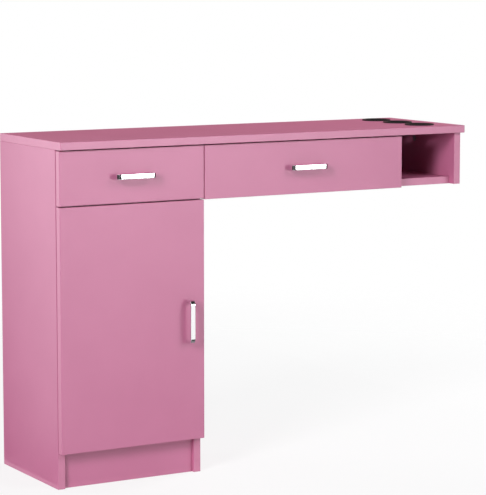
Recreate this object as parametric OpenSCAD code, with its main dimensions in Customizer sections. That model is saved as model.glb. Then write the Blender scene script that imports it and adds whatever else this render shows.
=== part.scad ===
// Wall-mounted styling station: a pedestal cabinet with a drawer and a door, and a wing
// that reaches to the right under one worktop, with a wide drawer and an open tool bay.
// Lengths in millimetres. X runs left to right, Y towards the wall, Z up from the floor.
// Modules work from a bench corner: X from the left outer face, Y from the front edges of
// the case boards, Z from the floor. on_bench() moves that corner to the part's own frame.

/* [Worktop] */
// Length of the worktop, left end to right end
top_w = 1100; // [1000:10:1400]
// Depth of the worktop, front edge to wall
top_d = 330; // [325:5:420]
// Height of the worktop above the floor
top_h = 790; // [740:5:900]
// How far the worktop's front edge stands out past the drawer and door faces
top_nose = 7; // [2:0.5:20]
// How far the worktop passes the end panel on the right
end_overhang = 8; // [0:1:30]

/* [Boards] */
// Thickness of the laminated boards
board_t = 18; // [16:0.5:20]
// Thickness of the drawer side and back boards
drawer_t = 12; // [10:0.5:15]
// Thickness of the hardboard backs and drawer bottoms
hard_t = 3; // [2.5:0.5:4]
// Chamfer that eases every board edge
ease = 0.6; // [0.2:0.1:1]

/* [Pedestal] */
// Outer width of the pedestal
pedestal_w = 368; // [330:2:450]
// Height of the toe kick board
kick_h = 82; // [60:2:110]
// Setback of the toe kick behind the side boards' front edges
kick_set = 8.5; // [2:0.5:40]
// Height of the adjustable shelf's underside above the floor
shelf_z = 360; // [300:2:400]
// Clearance at each end of the adjustable shelf
shelf_gap = 1; // [0.5:0.5:3]
// Setback of the adjustable shelf's front edge behind the side boards' front edges
shelf_set = 16; // [5:1:40]
// Height of the wall rail under the worktop, inside the pedestal
rail_h = 80; // [75:2:100]

/* [Wing] */
// Height of the wing's end panel, worktop underside to bottom
wing_h = 127; // [125:1:160]
// Clear width of the open tool bay
bay_w = 156; // [150:2:220]

/* [Fronts] */
// Gap between the back of the door or a drawer front and the case
front_gap = 2.5; // [2.5:0.1:3.5]
// Gap under the worktop, above both drawer fronts
front_top_gap = 2.5; // [1.5:0.5:5]
// Gap between the door and the drawer front above it
front_joint = 3; // [2:0.5:5]
// Gap between the two drawer fronts, side by side
side_joint = 2; // [2:0.5:5]
// How far the door and the small front stop short of the pedestal's outer faces
front_inset = 0.5; // [0:0.5:1]
// How far the wide drawer front reaches below the end panel's lower edge
wide_drop = 1; // [0:0.5:3]
// How far the door starts above the top edge of the toe kick
door_lift = 2; // [0:0.5:6]

/* [Drawers] */
// Height of the drawer boxes
box_h = 80; // [76:1:84]
// Clearance behind the drawer boxes, in front of the wall rail
box_back_gap = 32; // [28:1:34]
// Clearance under the drawer boxes
box_lift = 10; // [8:0.5:12]
// Height of the drawer bottom above the box's lower edge
groove_z = 8; // [6:0.5:12]
// Depth of the grooves that hold the drawer bottom
groove_d = 5; // [3:0.5:6]

/* [Telescopic runners] */
// Setback of the runners behind the side boards' front edges
runner_y = 2; // [1:0.5:3]
// Height of the channel on the case
runner_h = 45; // [44:0.5:46]
// Total thickness of a closed runner
runner_w = 12.7; // [12.7:0.1:13.5]
// Sheet thickness of the channels
sheet_t = 1.2; // [1:0.05:1.3]
// Width of a ball race, channel flange to channel flange
race = 3.4; // [3.2:0.05:3.5]
// Gap left at each lip
lip_gap = 0.5; // [0.4:0.05:0.6]

/* [Handles] */
// Hole spacing of the bow handles
handle_cc = 96; // [64:32:160]
// Reach of the handles out of the fronts
handle_out = 25; // [20:1:35]
// Width of the handles' flat face
handle_w = 12; // [10:0.5:16]
// Thickness of the handles' grip
handle_t = 5; // [4:0.5:7]
// Thickness of the handles' legs
handle_leg = 9; // [8:0.5:12]
// Radius of the handles' outer bends
handle_r = 8; // [6:0.5:9]
// Distance of the drawer handles below the top of the worktop
handle_down = 82; // [70:1:90]
// Distance of the door handle from the door's free edge
door_handle_in = 42.5; // [30:0.5:80]

/* [Concealed hinges] */
// Diameter of the cup's bore in the door
cup_d = 35; // [35:0.5:36]
// Depth of the cup's bore
cup_deep = 12.5; // [12.4:0.1:13]
// Distance of the cup's bore from the door edge
cup_edge = 3; // [3:0.1:3.2]
// Distance of the hinge pin from the door edge
pin_in = 6.6; // [6.5:0.05:6.8]
// Depth of the hinge pin behind the door's back face
pin_deep = 9.1; // [9:0.05:9.2]
// Radius of the hinge pin
pin_r = 1.1; // [0.9:0.05:1.15]
// Distance of each hinge from the top or bottom edge of the door
hinge_in = 90; // [70:5:120]
// Distance of the mounting plate's screws behind the case front
plate_in = 37; // [36:0.5:40]

/* [Tool holders] */
// Distance of the row of holders from the worktop's right end
holder_in = 88; // [80:1:100]
// Distance of the front and rear holders from the worktop's front and rear edges
holder_end = 69; // [60:1:80]
// Bore of a holder
holder_bore = 57; // [45:0.5:58]
// Outside diameter of a holder's rim
holder_rim = 72.7; // [71:0.1:76]
// Wall of a holder's sleeve
sleeve_wall = 3; // [2:0.25:3.5]
// Thickness of a holder's rim above the worktop
rim_t = 3; // [2:0.25:5]

/* [Fixings] */
// Distance from a board's end to the centre of a cam lock
cam_reach = 24; // [22:0.5:26]
// Radius of a cam lock
cam_r = 7.4; // [7:0.1:7.5]
// Depth of a cam lock in its board
cam_deep = 13; // [12.5:0.1:13]
// Radius of a dowel
dowel_r = 4; // [3:0.25:4]
// Length of a dowel
dowel_l = 30; // [25:1:32]
// Radius of the holes for the wall screws
wall_hole_r = 3; // [2.5:0.25:4]
// Clearance round every fitting in its bore
slack = 0.1; // [0.05:0.05:0.2]

/* [Hidden] */
$fn = 48;

pink = "#d491ad";
pink_inner = "#c9869f";
hardboard = "#b98aa0";
steel = "#b4b8bc";
chromed = "#dfe3e6";
dark_plastic = "#232022";
beech = "#d9b98a";
clear_rubber = "#e4e6e6";

// Case depth behind the fronts, and the part's own origin on the bench
case_d = top_d - top_nose - board_t - front_gap;
face_y = -front_gap - board_t;
origin_x = top_w / 2;
origin_y = (case_d + face_y - handle_out) / 2;

// Heights of the horizontal boards
under_z = top_h - board_t;
wing_z = under_z - wing_h;
wing_floor_z = wing_z + board_t;
joint_z = wing_z;
deck_z = joint_z - board_t / 2;
deck_top_z = deck_z + board_t;

// Places of the upright boards
inner_l = board_t;
inner_r = pedestal_w - board_t;
end_x = top_w - end_overhang - board_t;
divider_x = end_x - bay_w - board_t;
inside_d = case_d - hard_t;
wing_in_d = case_d - board_t;

// Fronts: left, right, bottom, top
small_front = [front_inset, pedestal_w - front_inset, joint_z + front_joint / 2, under_z - front_top_gap];
wide_front = [small_front[1] + side_joint, divider_x + board_t, wing_z - wide_drop, under_z - front_top_gap];
door_front = [front_inset, pedestal_w - front_inset, kick_h + door_lift, joint_z - front_joint / 2];

// Drawers: opening left, opening right, underside of the box, front, handle height
handle_z = top_h - handle_down;
small_drawer = [inner_l, inner_r, deck_top_z + box_lift, small_front, handle_z];
wide_drawer = [pedestal_w, divider_x, wing_floor_z + box_lift, wide_front, handle_z];
door_mid_z = (door_front[2] + door_front[3]) / 2;

// Drawer boxes end in front of the wall rail, and a runner's travel is its own length
box_l = inside_d - board_t - box_back_gap + front_gap;
runner_l = box_l - runner_y;

// Cross-section of the runners, measured out from the case
middle_u = 3.2;
case_u = 9;
mid_end_u = 10.8;
inner_u = 5.2;
middle_v = runner_h / 2 - sheet_t - race;
drawer_v = middle_v - sheet_t - race;
runner_screw_in = 35;
runner_screw_rear = 23;
runner_screw_ys = [runner_screw_in, runner_l - runner_screw_rear];
middle_set = 2;
middle_short = 6;
pan_r = 3.4;
pan_h = 1.7;
wood_screw_r = 1.75;
screw_in = 12;
sheet_play = 0.2;

// Cam bolts and their bores
bolt_thread = 11;
bolt_thread_r = 2.5;
bolt_shank_r = 2.7;
bolt_neck_r = 1.7;
bolt_head_r = 3;
bolt_head = 2;
bolt_collar_r = 3.4;
bolt_collar = 1.5;
edge_bore_r = bolt_collar_r + 0.3;
mouth_play = 0.3;
shank_short = 8;
dowel_face = 10;

// Screwdriver recess in a cam lock
recess_w = 1.4;
recess_deep = 2.2;
recess_span = 0.6;

// Drawer fittings are a size smaller
small_cam_r = 5.9;
small_cam_deep = 9.5;
front_cam_z = 20;
back_screw_zs = [18, 62];
back_screw = 24;
rail_screw_in = 9;

// Screws of the handles
handle_screw_r = 2;
handle_thread = 8;
handle_play = 0.05;
handle_thread_play = 0.5;
handle_hole_play = 0.25;
handle_head_r = 4;
handle_head = 2.2;

// Concealed hinge, seen along its pin
hinge_x = door_front[0] + pin_in;
hinge_y = -front_gap - pin_deep;
hinge_zs = [door_front[2] + hinge_in, door_front[3] - hinge_in];
cup_x = door_front[0] + cup_edge + cup_d / 2;
cup_r = cup_d / 2;
cup_in = cup_deep - slack;
cup_wall = 0.7;
cup_inner_r = cup_r - slack - cup_wall;
cup_floor = cup_in - cup_wall;
cup_rim = 1.2;
cup_flange = 0.5;
cup_screw = 12;
ear_t = 2.6;
ear_gap = 0.3;
ear_sink = 0.2;
eye_wall = 0.9;
eye_r = pin_r + eye_wall;
eye_w = 8;
pin_play = 0.05;
ear_play = 0.02;
link_t = 2;
arm_gap = 2.6;
link_in = 2;
arm_deep = 10.4;
arm_x0 = inner_l + arm_gap;
link_x = arm_x0 + link_in;
arm_x1 = arm_x0 + arm_deep;
arm_w = 17;
arm_t = 1.8;
arm_y0 = 4;
arm_y1 = 64;
block_play = 0.3;
block_front = 6;
block_rear = 2;
plate_t = 2.3;
plate_half = 7;
plate_hole = 16;
cup_hole = 24;
cup_wing_r = 8;
cup_wing_out = 6;

// Pads that the door closes on
bumper_t = 2.2;
bumper_r = 4;
bumper_in = 26;

// Shelf pin rows
pin_row_in = 37;
pin_row_rear = 73.5;
pin_row_ys = [pin_row_in, case_d - pin_row_rear];
pin_row_step = 32;
shelf_pin_r = 2.5;
shelf_pin_in = 8;
shelf_pin_out = 8;

// Distances of the fittings from the front and the rear edge of a board
cam_front_in = 50;
cam_rear_in = 60;
end_cam_in = 150;
dowel_front_in = 90;
dowel_rear_in = 100;
side_front_in = 40;
side_rear_in = 42;
side_dowel_front_in = 80;
side_dowel_rear_in = 90;
end_dowel_in = 25;
end_dowel_rear_in = 80;
cam_ys = [cam_front_in, case_d - cam_rear_in];
dowel_ys = [dowel_front_in, case_d - dowel_rear_in];
side_ys = [side_front_in, case_d - side_rear_in];
side_dowel_ys = [side_dowel_front_in, case_d - side_dowel_rear_in];
end_cam_ys = [case_d - end_cam_in, case_d - cam_rear_in];
end_dowel_ys = [end_dowel_in, side_dowel_front_in];

// Worktop joints: cams in the uprights, bolts up into the worktop
function down(x, ys, m) = [for (y = ys) [[x, y, under_z], [0, 0, -1], [m, 0, 0]]];
top_left = down(board_t / 2, cam_ys, 1);
top_right = down(pedestal_w - board_t / 2, cam_ys, -1);
top_divider = down(divider_x + board_t / 2, cam_ys, -1);
top_end = down(end_x + board_t / 2, end_cam_ys, -1);
top_left_d = down(board_t / 2, dowel_ys, 1);
top_right_d = down(pedestal_w - board_t / 2, dowel_ys, -1);
top_divider_d = down(divider_x + board_t / 2, dowel_ys, -1);
top_end_d = down(end_x + board_t / 2, end_dowel_ys, -1);

// Shelf joints: cams in the underside of a horizontal board, bolts into an upright
function across(x, n, ys, z) = [for (y = ys) [[x, y, z], [n, 0, 0], [0, 0, -1]]];
bottom_mid = kick_h + board_t / 2;
deck_mid = deck_z + board_t / 2;
wing_mid = wing_z + board_t / 2;
bottom_l = across(inner_l, 1, side_ys, bottom_mid);
bottom_r = across(inner_r, -1, side_ys, bottom_mid);
deck_l = across(inner_l, 1, side_ys, deck_mid);
deck_r = across(inner_r, -1, side_ys, deck_mid);
wing_l = across(pedestal_w, 1, cam_ys, wing_mid);
wing_r = across(end_x, -1, cam_ys, wing_mid);
bottom_l_d = across(inner_l, 1, side_dowel_ys, bottom_mid);
bottom_r_d = across(inner_r, -1, side_dowel_ys, bottom_mid);
deck_l_d = across(inner_l, 1, side_dowel_ys, deck_mid);
deck_r_d = across(inner_r, -1, side_dowel_ys, deck_mid);
wing_l_d = across(pedestal_w, 1, dowel_ys, wing_mid);
wing_r_d = across(end_x, -1, dowel_ys, wing_mid);

// Boards on edge: toe kick, wall rail and wing back
function edgewise(x, n, y, z, m) = [[[x, y, z], [n, 0, 0], [0, m, 0]]];
kick_y = kick_set + board_t / 2;
rail_y = inside_d - board_t / 2;
back_y = case_d - board_t / 2;
kick_cam_part = 0.4;
kick_dowel_part = 0.75;
rail_cam_down = 54;
rail_dowel_down = 22;
back_cam_up = 27;
back_dowel_down = 36;
kick_l = edgewise(inner_l, 1, kick_y, kick_h * kick_cam_part, 1);
kick_r = edgewise(inner_r, -1, kick_y, kick_h * kick_cam_part, 1);
rail_l = edgewise(inner_l, 1, rail_y, under_z - rail_cam_down, -1);
rail_r = edgewise(inner_r, -1, rail_y, under_z - rail_cam_down, -1);
back_l = edgewise(pedestal_w, 1, back_y, wing_floor_z + back_cam_up, -1);
back_r = edgewise(end_x, -1, back_y, wing_floor_z + back_cam_up, -1);
kick_l_d = edgewise(inner_l, 1, kick_y, kick_h * kick_dowel_part, 1);
kick_r_d = edgewise(inner_r, -1, kick_y, kick_h * kick_dowel_part, 1);
rail_l_d = edgewise(inner_l, 1, rail_y, under_z - rail_dowel_down, -1);
rail_r_d = edgewise(inner_r, -1, rail_y, under_z - rail_dowel_down, -1);
back_l_d = edgewise(pedestal_w, 1, back_y, under_z - back_dowel_down, -1);
back_r_d = edgewise(end_x, -1, back_y, under_z - back_dowel_down, -1);

// The divider stands on the wing's bottom on dowels alone
divider_d = [for (y = concat(end_dowel_ys, [case_d - end_dowel_rear_in]))
    [[divider_x + board_t / 2, y, wing_floor_z], [0, 0, 1], [-1, 0, 0]]];

all_cams = concat(top_left, top_right, top_divider, top_end, bottom_l, bottom_r, deck_l, deck_r,
    wing_l, wing_r, kick_l, kick_r, rail_l, rail_r, back_l, back_r);
all_dowels = concat(top_left_d, top_right_d, top_divider_d, top_end_d, bottom_l_d, bottom_r_d,
    deck_l_d, deck_r_d, wing_l_d, wing_r_d, kick_l_d, kick_r_d, rail_l_d, rail_r_d,
    back_l_d, back_r_d, divider_d);

// Wall screws: four through the wing's back, two through the pedestal's rail
wall_screw_in = 50;
wall_screw_edge = 27;
wing_screw_xs = [pedestal_w + wall_screw_in, end_x - wall_screw_in];
wing_screw_zs = [wing_floor_z + wall_screw_edge, under_z - wall_screw_edge];
rail_screw_xs = [inner_l + wall_screw_in, inner_r - wall_screw_in];
rail_screw_z = under_z - rail_h / 2;

// Tool holders, front to back
holder_x = top_w - holder_in;
holder_mid_y = case_d - top_d / 2;
holder_pitch = top_d / 2 - holder_end;
sleeve_r = holder_bore / 2 + sleeve_wall;
sleeve_foot = 2;

module on_bench() {
    translate([-origin_x, -origin_y, 0]) children();
}

// Points a child's +Z along n, from p
module along(p, n) {
    translate(p) rotate([0, acos(n.z), atan2(n.y, n.x)]) children();
}

// A fitting's own +Z runs into the board that holds the cam, its +X to the cam's face
module fitted(f) {
    p = f[0];
    n = f[1];
    m = f[2];
    k = cross(n, m);
    multmatrix([[m.x, k.x, n.x, p.x], [m.y, k.y, n.y, p.y], [m.z, k.z, n.z, p.z], [0, 0, 0, 1]])
        children();
}

// Rectangle with its corners cut at 45 degrees
module eased_rect(w, h) {
    polygon([[ease, 0], [w - ease, 0], [w, ease], [w, h - ease],
        [w - ease, h], [ease, h], [0, h - ease], [0, ease]]);
}

// Laminated board whose twelve edges are eased
module board(size) {
    intersection() {
        linear_extrude(size.z) eased_rect(size.x, size.y);
        translate([0, size.y, 0]) rotate([90, 0, 0]) linear_extrude(size.y) eased_rect(size.x, size.z);
        rotate([90, 0, 90]) linear_extrude(size.x) eased_rect(size.y, size.z);
    }
}

// Cam lock: a drum with a cross recess and a mouth for the bolt's head
module cam_lock(r, deep, half) {
    translate([half - deep, 0, cam_reach]) rotate([0, 90, 0]) difference() {
        cylinder(r = r, h = deep);
        for (a = [0, 90]) rotate(a) translate([-r * recess_span, -recess_w / 2, deep - recess_deep])
            cube([2 * r * recess_span, recess_w, recess_deep + 1]);
        translate([-bolt_head - mouth_play, 0, deep - half]) rotate([0, 90, 0])
            cylinder(r = bolt_head_r + mouth_play, h = r + bolt_head + 1);
    }
}

module cam_bolt() {
    translate([0, 0, -bolt_thread]) cylinder(r = bolt_thread_r, h = bolt_thread);
    cylinder(r = bolt_collar_r, h = bolt_collar);
    cylinder(r = bolt_shank_r, h = cam_reach - shank_short);
    cylinder(r = bolt_neck_r, h = cam_reach);
    translate([0, 0, cam_reach - bolt_head]) cylinder(r = bolt_head_r, h = 2 * bolt_head);
}

// Bores in the board that holds the cam
module edge_bores(list, r = cam_r, deep = cam_deep, half = board_t / 2) {
    for (f = list) fitted(f) {
        translate([half - deep - slack, 0, cam_reach]) rotate([0, 90, 0])
            cylinder(r = r + slack, h = deep + 1);
        translate([0, 0, -1]) cylinder(r = edge_bore_r, h = cam_reach + 1);
    }
}

// Bore in the board that takes the bolt's thread
module face_bores(list) {
    for (f = list) fitted(f) translate([0, 0, -bolt_thread - slack])
        cylinder(r = bolt_thread_r + slack, h = bolt_thread + 1);
}

// Dowel bores, which cross the joint into both boards
module dowel_bores(list) {
    for (f = list) fitted(f) translate([0, 0, -dowel_face - slack])
        cylinder(r = dowel_r + slack, h = dowel_l + 2 * slack);
}

// Row of screw holes that run from a face into a board
module pilot(p, n, r, h) {
    along(p, n) translate([0, 0, -1]) cylinder(r = r, h = h + 1);
}

// Pan-head screw: its head stands on p, its shank runs along n
module pan_screw(p, n, h) {
    along(p, n) {
        translate([0, 0, -pan_h]) cylinder(r = pan_r, h = pan_h);
        cylinder(r = wood_screw_r, h = h);
    }
}

// Worktop and its tool holders

module holder_spots() {
    for (i = [-1, 0, 1]) translate([holder_x, holder_mid_y + i * holder_pitch, 0]) children();
}

module top_panel() {
    on_bench() color(pink) difference() {
        translate([0, case_d - top_d, under_z]) board([top_w, top_d, board_t]);
        holder_spots() translate([0, 0, under_z - 1]) cylinder(r = sleeve_r + slack, h = board_t + 2);
        face_bores(concat(top_left, top_right, top_divider, top_end));
        dowel_bores(concat(top_left_d, top_right_d, top_divider_d, top_end_d));
    }
}

// Flanged sleeve with a rounded rim, dropped into its hole in the worktop
module tool_holder(i) {
    bore = holder_bore / 2;
    rim = holder_rim / 2;
    soft = rim_t / 2;
    on_bench() color(dark_plastic) translate([holder_x, holder_mid_y + i * holder_pitch, top_h])
        rotate_extrude() {
            translate([bore, -board_t - sleeve_foot]) square([sleeve_wall, board_t + sleeve_foot + soft]);
            translate([bore + soft, 0]) square([rim - bore - 2 * soft, rim_t]);
            translate([bore, 0]) square([soft, soft]);
            translate([rim - soft, 0]) square([soft, soft]);
            translate([bore + soft, soft]) circle(r = soft);
            translate([rim - soft, soft]) circle(r = soft);
        }
}

// Pedestal

module side_holes(x, n) {
    // Shelf pin rows
    for (y = pin_row_ys, i = [-1, 0, 1])
        pilot([x, y, shelf_z - shelf_pin_r + i * pin_row_step], [n, 0, 0],
            shelf_pin_r + slack, shelf_pin_in + slack);
    // Runner screws
    for (y = runner_screw_ys)
        pilot([x, runner_y + y, runner_z(small_drawer)], [n, 0, 0], wood_screw_r + slack, screw_in + slack);
    // Rebate for the hardboard back
    translate([n < 0 ? x - board_t / 2 : x, inside_d, kick_h])
        cube([board_t / 2, hard_t + 1, under_z - kick_h + 1]);
}

function runner_z(drawer) = drawer[2] + box_h / 2;

module pedestal_left_side() {
    on_bench() color(pink) difference() {
        board([board_t, case_d, under_z]);
        edge_bores(top_left);
        face_bores(concat(bottom_l, deck_l, kick_l, rail_l));
        dowel_bores(concat(top_left_d, bottom_l_d, deck_l_d, kick_l_d, rail_l_d));
        side_holes(inner_l, -1);
        for (z = hinge_zs, s = [-1, 1])
            pilot([inner_l, plate_in, z + s * plate_hole], [-1, 0, 0],
                wood_screw_r + slack, screw_in + slack);
    }
}

module pedestal_right_side() {
    on_bench() color(pink) difference() {
        translate([inner_r, 0, 0]) board([board_t, case_d, under_z]);
        edge_bores(top_right);
        face_bores(concat(bottom_r, deck_r, kick_r, rail_r, wing_l, back_l));
        dowel_bores(concat(top_right_d, bottom_r_d, deck_r_d, kick_r_d, rail_r_d, wing_l_d, back_l_d));
        side_holes(inner_r, 1);
        for (y = runner_screw_ys)
            pilot([pedestal_w, runner_y + y, runner_z(wide_drawer)], [-1, 0, 0],
                wood_screw_r + slack, screw_in + slack);
    }
}

// Shelf board between the pedestal's sides, with its cams underneath
module fixed_shelf(z, cams, pegs) {
    on_bench() color(pink) difference() {
        translate([inner_l, 0, z]) board([inner_r - inner_l, inside_d, board_t]);
        edge_bores(cams);
        dowel_bores(pegs);
    }
}

module pedestal_bottom() {
    fixed_shelf(kick_h, concat(bottom_l, bottom_r), concat(bottom_l_d, bottom_r_d));
}

module drawer_deck() {
    fixed_shelf(deck_z, concat(deck_l, deck_r), concat(deck_l_d, deck_r_d));
}

module toe_kick() {
    on_bench() color(pink) difference() {
        translate([inner_l, kick_set, 0]) board([inner_r - inner_l, board_t, kick_h]);
        edge_bores(concat(kick_l, kick_r));
        dowel_bores(concat(kick_l_d, kick_r_d));
    }
}

module pedestal_back() {
    on_bench() color(hardboard) difference() {
        translate([inner_l - board_t / 2, inside_d, kick_h])
            cube([inner_r - inner_l + board_t, hard_t, under_z - kick_h]);
        for (x = rail_screw_xs) pilot([x, case_d, rail_screw_z], [0, -1, 0], wall_hole_r, hard_t + 1);
    }
}

module adjustable_shelf() {
    on_bench() color(pink)
        translate([inner_l + shelf_gap, shelf_set, shelf_z])
            board([inner_r - inner_l - 2 * shelf_gap, inside_d - shelf_set - shelf_gap, board_t]);
}

module shelf_pins() {
    on_bench() color(steel) for (y = pin_row_ys, s = [0, 1])
        translate([s * pedestal_w, 0, 0]) mirror([s, 0, 0])
            translate([inner_l - shelf_pin_in, y, shelf_z - shelf_pin_r]) rotate([0, 90, 0])
                cylinder(r = shelf_pin_r, h = shelf_pin_in + shelf_pin_out);
}

module wall_rail() {
    on_bench() color(pink) difference() {
        translate([inner_l, inside_d - board_t, under_z - rail_h])
            board([inner_r - inner_l, board_t, rail_h]);
        edge_bores(concat(rail_l, rail_r));
        dowel_bores(concat(rail_l_d, rail_r_d));
        for (x = rail_screw_xs) pilot([x, inside_d, rail_screw_z], [0, -1, 0], wall_hole_r, board_t + 1);
    }
}

// Wing

module wing_bottom() {
    on_bench() color(pink) difference() {
        translate([pedestal_w, 0, wing_z]) board([end_x - pedestal_w, case_d, board_t]);
        edge_bores(concat(wing_l, wing_r));
        dowel_bores(concat(wing_l_d, wing_r_d, divider_d));
    }
}

module wing_divider() {
    on_bench() color(pink) difference() {
        translate([divider_x, 0, wing_floor_z]) board([board_t, wing_in_d, under_z - wing_floor_z]);
        edge_bores(top_divider);
        dowel_bores(concat(top_divider_d, divider_d));
        for (y = runner_screw_ys)
            pilot([divider_x, runner_y + y, runner_z(wide_drawer)], [1, 0, 0],
                wood_screw_r + slack, screw_in + slack);
    }
}

module wing_end_panel() {
    on_bench() color(pink) difference() {
        translate([end_x, face_y, wing_z]) board([board_t, case_d - face_y, wing_h]);
        edge_bores(top_end);
        face_bores(concat(wing_r, back_r));
        dowel_bores(concat(top_end_d, wing_r_d, back_r_d));
    }
}

module wing_back() {
    on_bench() color(pink) difference() {
        translate([pedestal_w, wing_in_d, wing_floor_z])
            board([end_x - pedestal_w, board_t, under_z - wing_floor_z]);
        edge_bores(concat(back_l, back_r));
        dowel_bores(concat(back_l_d, back_r_d));
        for (x = wing_screw_xs, z = wing_screw_zs)
            pilot([x, case_d, z], [0, -1, 0], wall_hole_r, board_t + 1);
    }
}

// Knock-down fittings of the case

module cam_locks() {
    on_bench() color(steel) for (f = all_cams) fitted(f) cam_lock(cam_r, cam_deep, board_t / 2);
}

module cam_bolts() {
    on_bench() color(steel) for (f = all_cams) fitted(f) cam_bolt();
}

module dowels() {
    on_bench() color(beech) for (f = all_dowels) fitted(f)
        translate([0, 0, -dowel_face]) cylinder(r = dowel_r, h = dowel_l);
}

// Telescopic runners: three channels, each lipped over the ball races of the next.
// A profile's X is the distance from the case, its Y the height from the runner's middle.

module both_edges() {
    for (s = [0, 1]) mirror([0, s]) children();
}

module case_profile() {
    h = runner_h / 2;
    lip = h - sheet_t - race + lip_gap;
    translate([0, -h]) square([sheet_t, runner_h]);
    both_edges() {
        translate([0, h - sheet_t]) square([case_u, sheet_t]);
        translate([case_u - sheet_t, lip]) square([sheet_t, h - lip]);
    }
}

module middle_profile() {
    hook = runner_h / 2 - sheet_t - lip_gap;
    lip = drawer_v + lip_gap;
    translate([middle_u, -hook]) square([sheet_t, 2 * hook]);
    both_edges() {
        translate([middle_u, middle_v - sheet_t]) square([mid_end_u - middle_u, sheet_t]);
        translate([mid_end_u - sheet_t, lip]) square([sheet_t, middle_v - lip]);
    }
}

module drawer_profile() {
    hook = middle_v - sheet_t - lip_gap;
    translate([runner_w - sheet_t, -drawer_v]) square([sheet_t, 2 * drawer_v]);
    both_edges() {
        translate([inner_u, drawer_v - sheet_t]) square([runner_w - inner_u, sheet_t]);
        translate([inner_u, drawer_v - sheet_t]) square([sheet_t, hook - drawer_v + sheet_t]);
    }
}

// Extrudes a profile front to back, once against each side of a drawer's opening
module runner_pair(drawer, y, l) {
    for (s = [0, 1]) translate([drawer[s], y + l, runner_z(drawer)]) mirror([s, 0, 0])
        rotate([90, 0, 0]) linear_extrude(l) children();
}

module case_runners(drawer) {
    on_bench() color(steel) difference() {
        runner_pair(drawer, runner_y, runner_l) case_profile();
        for (y = runner_screw_ys, s = [0, 1])
            pilot([drawer[s] + (s == 0 ? -1 : 1), runner_y + y, runner_z(drawer)],
                [s == 0 ? 1 : -1, 0, 0], wood_screw_r + sheet_play, sheet_t + 2);
    }
}

module middle_runners(drawer) {
    on_bench() color(steel)
        runner_pair(drawer, runner_y + middle_set, runner_l - middle_short) middle_profile();
}

module drawer_runners(drawer) {
    on_bench() color(steel) difference() {
        runner_pair(drawer, runner_y, runner_l) drawer_profile();
        for (y = runner_screw_ys, s = [0, 1])
            pilot([drawer[s] + (s == 0 ? 1 : -1) * (runner_w + 1), runner_y + y, runner_z(drawer)],
                [s == 0 ? -1 : 1, 0, 0], wood_screw_r + sheet_play, sheet_t + 2);
    }
}

module small_case_runners() { case_runners(small_drawer); }
module wide_case_runners() { case_runners(wide_drawer); }
module small_middle_runners() { middle_runners(small_drawer); }
module wide_middle_runners() { middle_runners(wide_drawer); }
module small_drawer_runners() { drawer_runners(small_drawer); }
module wide_drawer_runners() { drawer_runners(wide_drawer); }

module case_runner_screws() {
    on_bench() color(steel) for (drawer = [small_drawer, wide_drawer], y = runner_screw_ys, s = [0, 1]) {
        n = s == 0 ? -1 : 1;
        pan_screw([drawer[s] - n * sheet_t, runner_y + y, runner_z(drawer)], [n, 0, 0], screw_in + sheet_t);
    }
}

// Drawers. A box is two sides and a back of thinner board, a hardboard bottom in grooves,
// and the 18 mm front that the sides are locked to.

function side_x(drawer, s) = s == 0 ? drawer[0] + runner_w : drawer[1] - runner_w - drawer_t;

// The cam fittings between a drawer's sides and its front
function drawer_cams(drawer) = [for (s = [0, 1]) [
    [side_x(drawer, s) + drawer_t / 2, -front_gap, drawer[2] + front_cam_z],
    [0, 1, 0], [s == 0 ? 1 : -1, 0, 0]
]];

module bottom_space(drawer, play) {
    x0 = side_x(drawer, 0) + drawer_t - groove_d;
    x1 = side_x(drawer, 1) + groove_d;
    translate([x0 - play, -front_gap - groove_d - play, drawer[2] + groove_z - play])
        cube([x1 - x0 + 2 * play, box_l - drawer_t + 2 * groove_d + 2 * play, hard_t + 2 * play]);
}

module back_screws(drawer, r, head) {
    for (s = [0, 1], z = back_screw_zs) {
        n = s == 0 ? 1 : -1;
        p = [side_x(drawer, s) + (s == 0 ? 0 : drawer_t), box_l - front_gap - drawer_t / 2, drawer[2] + z];
        along(p, [n, 0, 0]) {
            translate([0, 0, -slack]) cylinder(r1 = head, r2 = r, h = head - r);
            translate([0, 0, -slack]) cylinder(r = r, h = back_screw);
        }
    }
}

module drawer_side(drawer, s) {
    on_bench() color(pink_inner) difference() {
        translate([side_x(drawer, s), -front_gap, drawer[2]]) board([drawer_t, box_l, box_h]);
        bottom_space(drawer, slack);
        edge_bores(drawer_cams(drawer), small_cam_r, small_cam_deep, drawer_t / 2);
        back_screws(drawer, wood_screw_r + slack, pan_r + slack);
        for (y = runner_screw_ys) {
            n = s == 0 ? 1 : -1;
            pilot([drawer[s] + n * runner_w, runner_y + y, runner_z(drawer)], [n, 0, 0],
                wood_screw_r + slack, rail_screw_in + slack);
        }
    }
}

module drawer_back(drawer) {
    x0 = side_x(drawer, 0) + drawer_t;
    on_bench() color(pink_inner) difference() {
        translate([x0, box_l - front_gap - drawer_t, drawer[2]])
            board([side_x(drawer, 1) - x0, drawer_t, box_h]);
        bottom_space(drawer, slack);
        back_screws(drawer, wood_screw_r + slack, pan_r + slack);
    }
}

module drawer_bottom(drawer) {
    on_bench() color(hardboard) bottom_space(drawer, 0);
}

// Laminated front with the grooves and bores of its box, and two holes for the handle
module drawer_front(drawer) {
    f = drawer[3];
    mid = (f[0] + f[1]) / 2;
    on_bench() color(pink) difference() {
        translate([f[0], face_y, f[2]]) board([f[1] - f[0], board_t, f[3] - f[2]]);
        bottom_space(drawer, slack);
        face_bores(drawer_cams(drawer));
        for (s = [-1, 1])
            pilot([mid + s * handle_cc / 2, -front_gap, drawer[4]], [0, -1, 0],
                handle_screw_r + handle_hole_play, board_t + 1);
    }
}

module drawer_locks(drawer) {
    on_bench() color(steel) for (f = drawer_cams(drawer)) fitted(f)
        cam_lock(small_cam_r, small_cam_deep, drawer_t / 2);
}

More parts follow.
